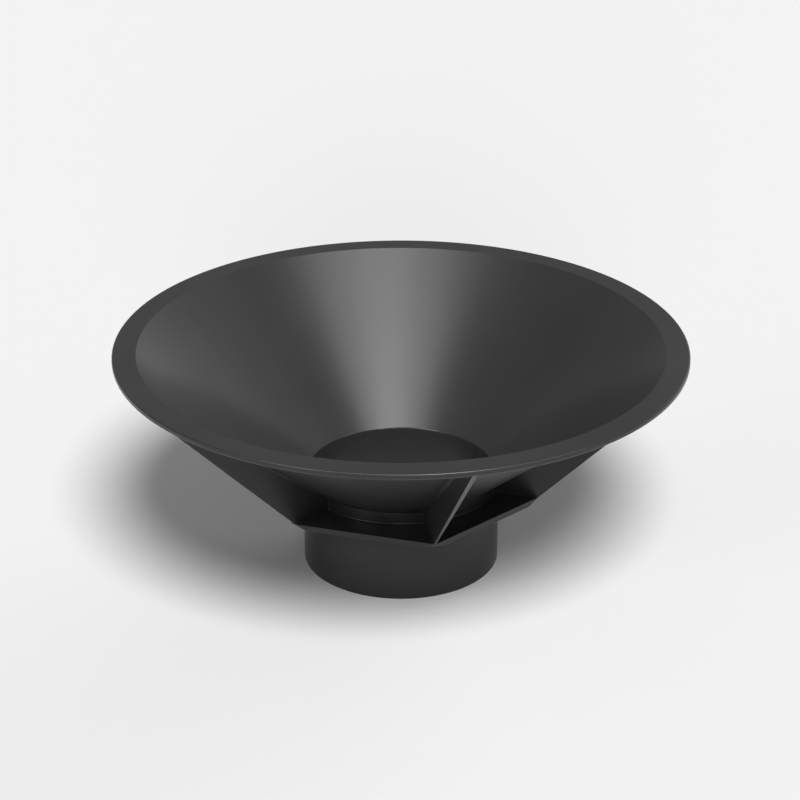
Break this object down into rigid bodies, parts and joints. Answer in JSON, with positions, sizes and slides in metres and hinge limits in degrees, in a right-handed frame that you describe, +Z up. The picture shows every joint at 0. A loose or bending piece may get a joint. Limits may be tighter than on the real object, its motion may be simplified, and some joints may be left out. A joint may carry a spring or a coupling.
{
  "type": "resin funnel",
  "caption": "Wide moulded funnel with a flat lip, a short round spout, radial ribs and a hexagonal seat plate, for pouring resin beads into a vessel neck.",
  "frame": {"origin": "centre of the spout's lower end, on the surface that the funnel stands on", "axes": "+Z up along the funnel's axis, from the spout to the rim; two of the ribs lie in the YZ plane and two flat sides of the seat plate face +X and -X"},
  "size_m": [0.184, 0.184, 0.075],
  "materials": {
    "funnel_plastic": "dark grey moulded polypropylene, satin"
  },
  "bodies": {
    "root": {"funnel": "funnel_plastic"}
  },
  "joints": []
}
